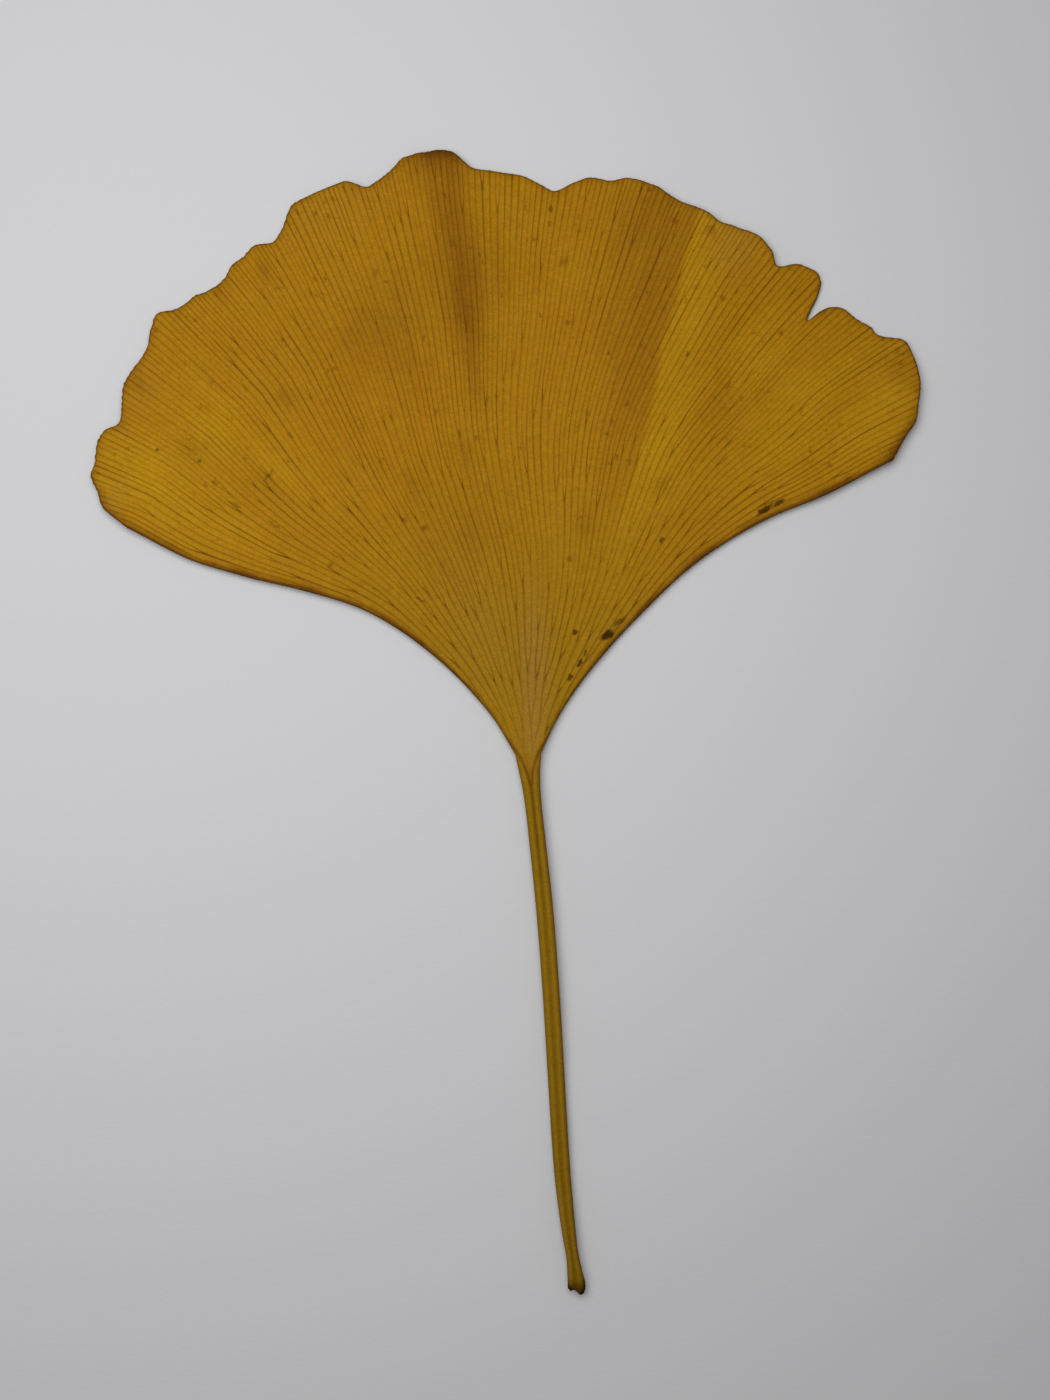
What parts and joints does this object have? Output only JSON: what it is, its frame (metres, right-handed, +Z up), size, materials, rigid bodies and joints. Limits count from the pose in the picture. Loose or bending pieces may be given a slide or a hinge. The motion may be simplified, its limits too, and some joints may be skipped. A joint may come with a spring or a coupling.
{
  "type": "ginkgo leaf",
  "caption": "Fallen ginkgo leaf lying flat: a fan-shaped blade with forking veins and a notched outer edge, grown in one piece with its slender grooved stalk.",
  "frame": {"origin": "middle of the leaf's box across and along, at the surface that the leaf lies on", "axes": "+Y from the stalk's torn end towards the fan's outer edge, +X to the leaf's right as seen from above with the fan away from the viewer, +Z up from the surface"},
  "size_m": [0.0824, 0.1124, 0.0015],
  "materials": {
    "leaf_tissue": "satin"
  },
  "bodies": {
    "root": {"leaf": "leaf_tissue"}
  },
  "joints": []
}
